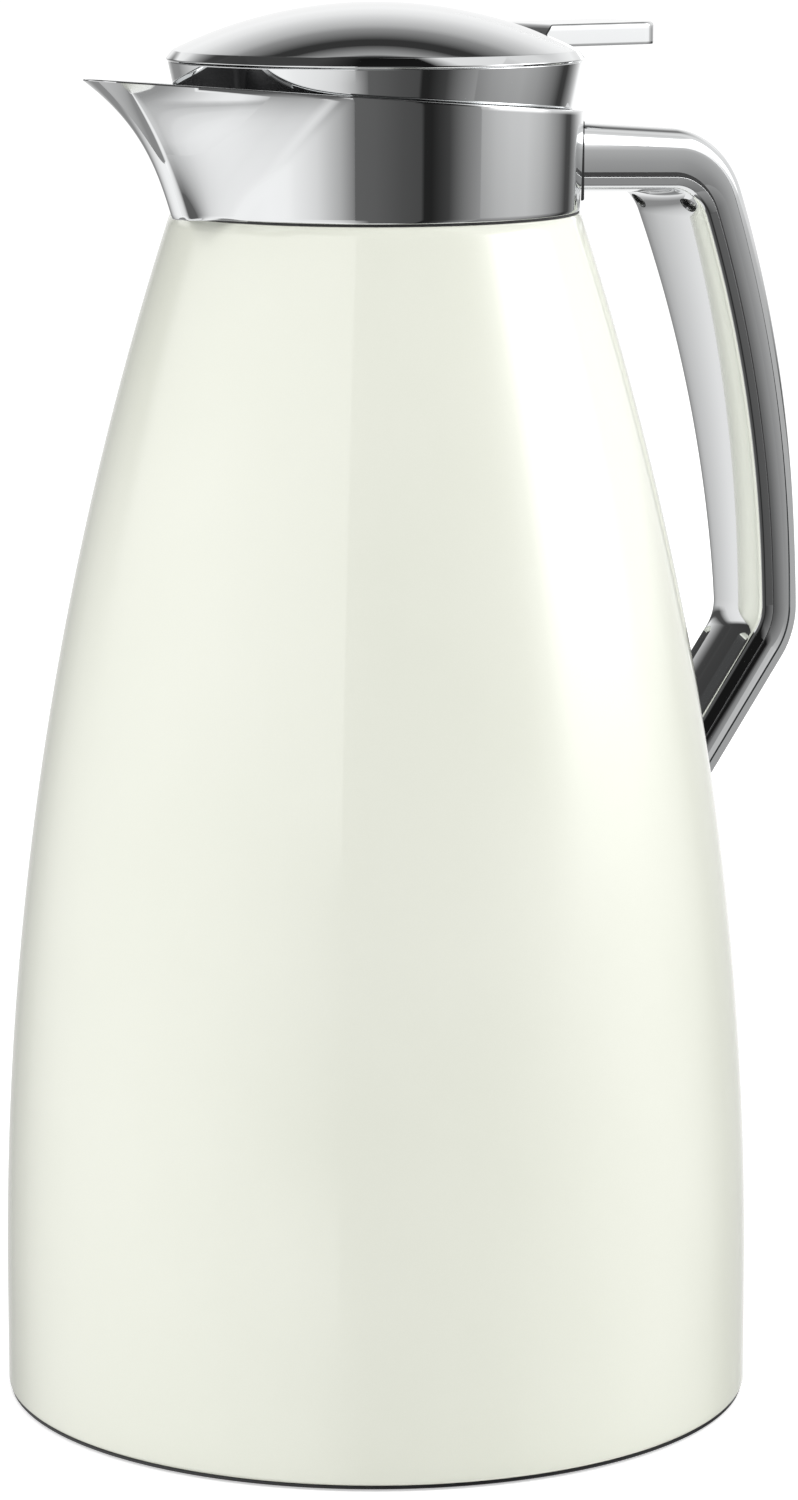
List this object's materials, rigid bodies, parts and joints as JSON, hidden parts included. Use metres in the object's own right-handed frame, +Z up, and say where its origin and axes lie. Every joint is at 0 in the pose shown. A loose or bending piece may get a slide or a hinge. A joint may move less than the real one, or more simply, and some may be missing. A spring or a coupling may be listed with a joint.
{
  "type": "thermal carafe",
  "caption": "Insulated serving jug: ivory lacquered shell round a glass liner, bright spouted collar, angular hollow handle and a lift-out lid whose thumb lever opens a sprung pouring valve.",
  "frame": {"origin": "on the jug's own axis, at the level of the table it stands on", "axes": "+Z up along the jug's axis, +X towards the handle and the thumb lever, -X towards the spout, +Y across"},
  "size_m": [0.1794, 0.15, 0.2784],
  "materials": {
    "ivory_lacquer": "gloss",
    "bright_chrome": "polished",
    "black_plastic": "satin",
    "black_rubber": "matte",
    "grey_silicone": "matte",
    "silvered_glass": "mirror-backed",
    "bright_steel": "satin"
  },
  "bodies": {
    "carafe": {"body_shell": "ivory_lacquer", "base_cap": "black_plastic", "foot_ring": "black_rubber", "liner_cushion": "grey_silicone", "liner_outer_wall": "silvered_glass", "liner_inner_wall": "silvered_glass", "liner_spacers": "grey_silicone", "neck_seal": "grey_silicone", "neck_insert": "black_plastic", "clamp_ring": "black_plastic", "collar_gasket": "black_rubber", "collar": "bright_chrome", "handle_saddle": "bright_chrome", "collar_screws": "bright_steel", "handle_back": "bright_chrome", "handle_grip": "bright_chrome", "handle_screws": "bright_steel", "lower_bracket": "bright_steel", "lower_pad": "black_rubber"},
    "lid": {"lid_dome": "bright_chrome", "lid_skirt": "bright_chrome", "stopper_body": "black_plastic", "stopper_cage": "black_plastic", "stopper_flange": "black_plastic", "stopper_seal": "grey_silicone", "stopper_cover": "black_plastic", "lid_screws": "bright_steel", "valve_spring": "bright_steel", "lever_pin": "bright_steel"},
    "lever": {"thumb_lever": "black_plastic", "lever_plate": "bright_chrome"},
    "valve": {"valve_stem": "black_plastic", "valve_seal": "grey_silicone"}
  },
  "joints": [
    {"name": "lid_lift", "type": "slide", "parent": "carafe", "child": "lid", "axis": [0, 0, 1], "range_m": [0, 0.045]},
    {"name": "lever_press", "type": "hinge", "parent": "lid", "child": "lever", "pos_m": [0.024, 0, 0.264], "axis": [0, 1, 0], "range_deg": [0, 8], "stiffness_Nm_per_rad": 0.3, "springref_deg": -3.44},
    {"name": "valve_lift", "type": "slide", "parent": "lid", "child": "valve", "axis": [0, 0, 1], "range_m": [0, 0.00332], "deforming": ["valve_spring"]}
  ],
  "couplings": [
    {"joint": "valve_lift", "follows": "lever_press", "m_per_rad": 0.02363}
  ]
}
